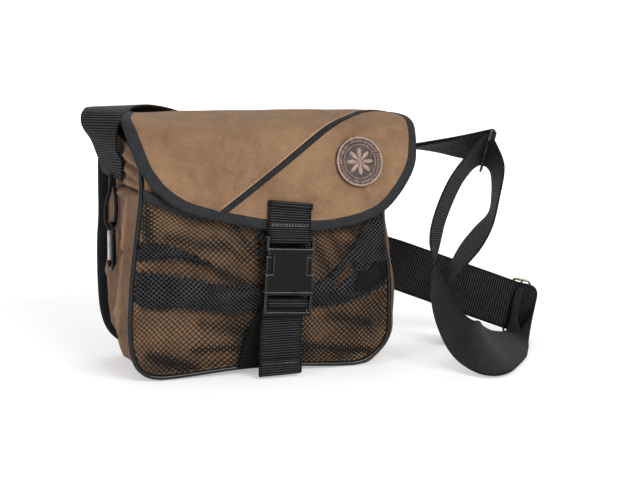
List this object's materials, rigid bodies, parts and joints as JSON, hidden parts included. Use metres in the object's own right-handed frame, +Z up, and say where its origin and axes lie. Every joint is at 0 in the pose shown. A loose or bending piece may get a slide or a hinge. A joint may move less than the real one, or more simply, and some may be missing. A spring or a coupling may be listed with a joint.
{
  "type": "shoulder bag",
  "caption": "Soft canvas shoulder bag with a rounded flap, net front pocket, side release closing strap, long webbing shoulder strap and a small side snap clip.",
  "frame": {"origin": "on the floor under the middle of the bag's body, at mount stand_centre", "axes": "+X to the bag's right as seen from the front, +Y from front to back, +Z up"},
  "size_m": [0.4505, 0.2412, 0.2408],
  "materials": {
    "canvas": "waxed cotton canvas, soft mottled tan",
    "net": "black knitted polyester net",
    "tape": "black woven binding tape",
    "piping": "black extruded vinyl piping, satin",
    "webbing": "black ribbed nylon webbing",
    "acetal": "black moulded acetal",
    "leather": "brown pressed leather, waxed",
    "brass": "antique brass wire, bent and welded",
    "black_alloy": "black anodised alloy rod",
    "steel": "bright steel"
  },
  "bodies": {
    "bag": {"front_panel": "canvas", "back_panel": "canvas", "gusset": "canvas", "flap_upper": "canvas", "flap_lower": "canvas", "mesh_pocket": "net", "pocket_binding": "tape", "back_binding": "tape", "flap_binding": "tape", "diagonal_binding": "tape", "front_piping": "piping", "leather_patch": "leather", "flap_strap": "webbing", "lower_strap": "webbing", "shoulder_strap": "webbing", "strap_tab": "webbing", "clip_loop": "webbing", "buckle_female": "acetal", "buckle_male": "acetal", "strap_ring": "brass", "strap_slider": "brass", "carabiner_body": "black_alloy"},
    "gate": {"carabiner_gate": "steel"}
  },
  "joints": [
    {"name": "gate_hinge", "type": "hinge", "parent": "bag", "child": "gate", "pos_m": [-0.1247, 0.0086, 0.1], "axis": [1, 0, 0], "range_deg": [0, 22], "stiffness_Nm_per_rad": 0.01, "springref_deg": -17.19}
  ]
}
